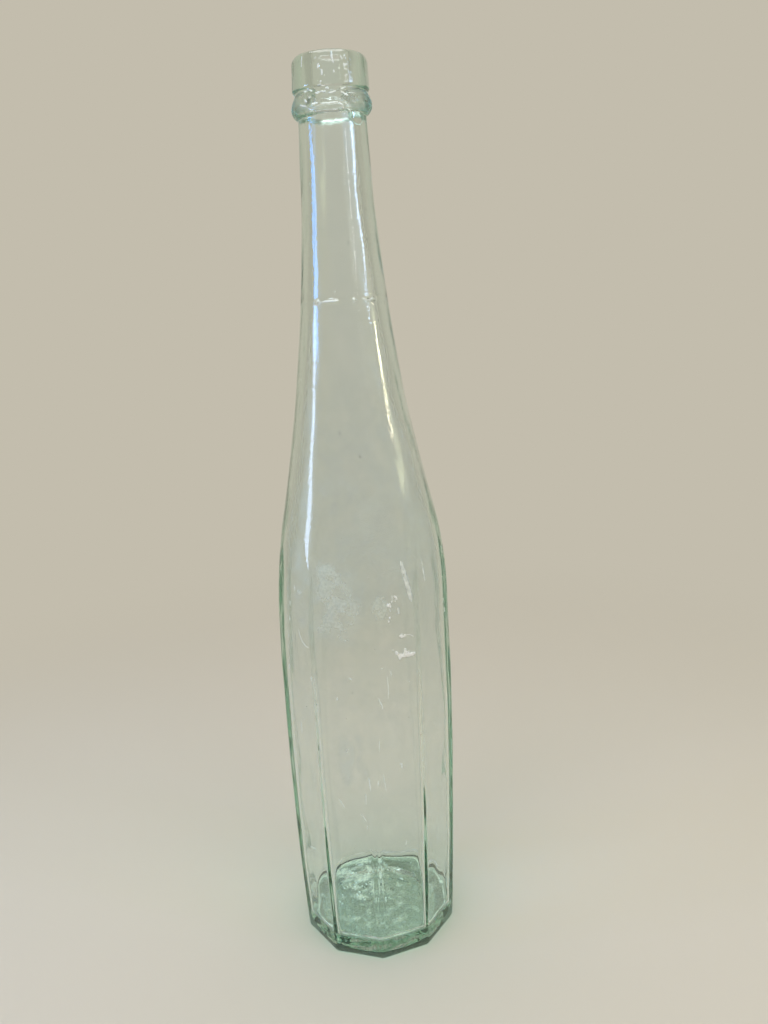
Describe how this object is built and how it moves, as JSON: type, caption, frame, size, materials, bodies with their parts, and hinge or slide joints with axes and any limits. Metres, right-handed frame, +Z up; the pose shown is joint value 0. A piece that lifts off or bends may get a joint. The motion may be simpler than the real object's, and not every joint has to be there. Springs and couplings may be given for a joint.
{
  "type": "salad oil bottle",
  "caption": "Tall ten-sided mould-blown salad oil bottle with a long tapered beaded neck, an applied lip and a laid-on string ring.",
  "frame": {"origin": "centre of the bottle's footprint, on the surface that it stands on", "axes": "+Z up along the bottle's axis to the mouth; -Y towards the panel edge that faces the viewer; +X to the viewer's right"},
  "size_m": [0.0616, 0.0644, 0.315],
  "materials": {
    "body_glass": "pale green blown bottle glass, smooth with faint waves, seeds and light inner haze",
    "lip_glass": "pale green tooled glass, smooth, fire-polished",
    "ring_glass": "green tooled glass trail, slightly uneven, fire-polished"
  },
  "bodies": {
    "root": {"blown_body": "body_glass", "applied_lip": "lip_glass", "string_ring": "ring_glass"}
  },
  "joints": []
}
